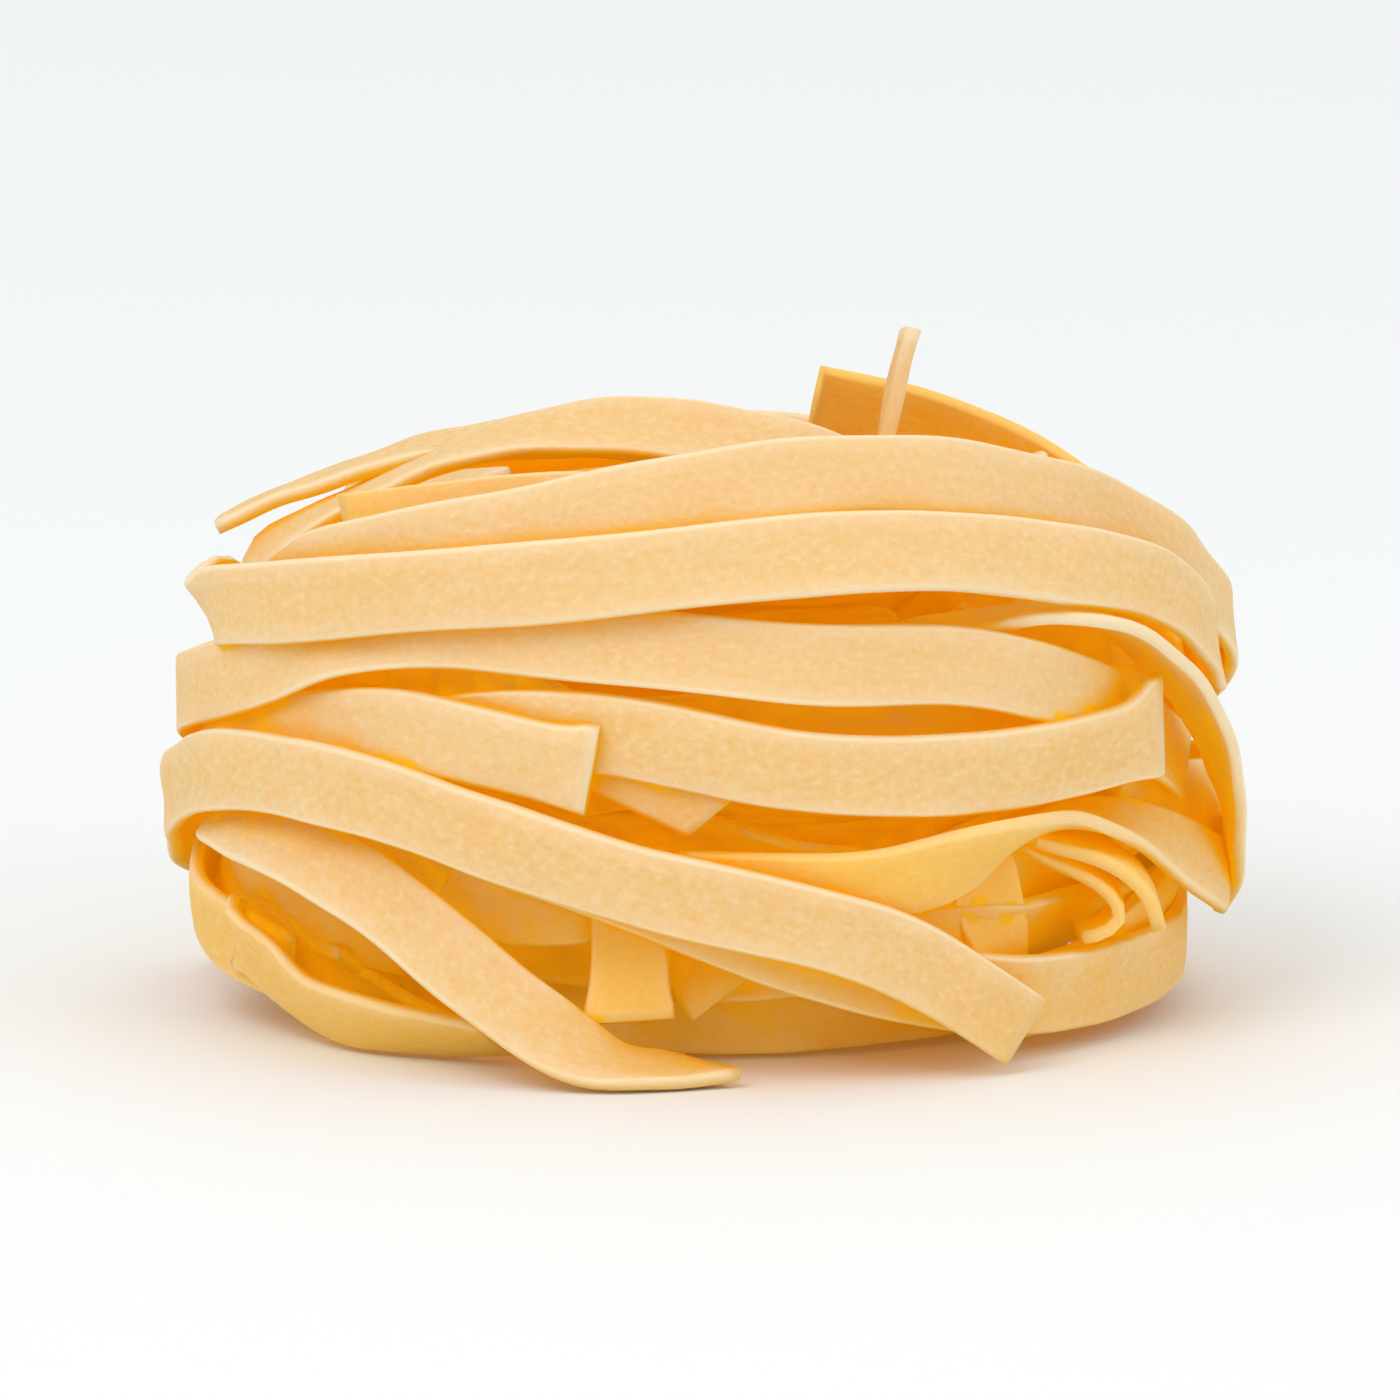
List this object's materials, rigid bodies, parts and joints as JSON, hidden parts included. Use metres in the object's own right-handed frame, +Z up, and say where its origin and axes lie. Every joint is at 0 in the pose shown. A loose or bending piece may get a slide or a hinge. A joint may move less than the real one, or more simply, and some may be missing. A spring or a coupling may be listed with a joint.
{
  "type": "dry pasta nest",
  "caption": "A nest of dry tagliatelle: flat pasta ribbons wound into a low, uneven ring with a hollow in the top, loose cut ends, and a flat underside that it rests on",
  "frame": {"origin": "centre of the nest's bounding box, on the surface it stands on", "axes": "+Z up, +X across the nest's longer width, -Y the front, where the two long diagonal ribbons run down to the table"},
  "size_m": [0.0696, 0.0634, 0.0436],
  "materials": {
    "dry_pasta": "dry, slightly floury pasta dough, cream to golden yellow, matte and faintly translucent"
  },
  "bodies": {
    "root": {"pasta_nest": "dry_pasta"}
  },
  "joints": []
}
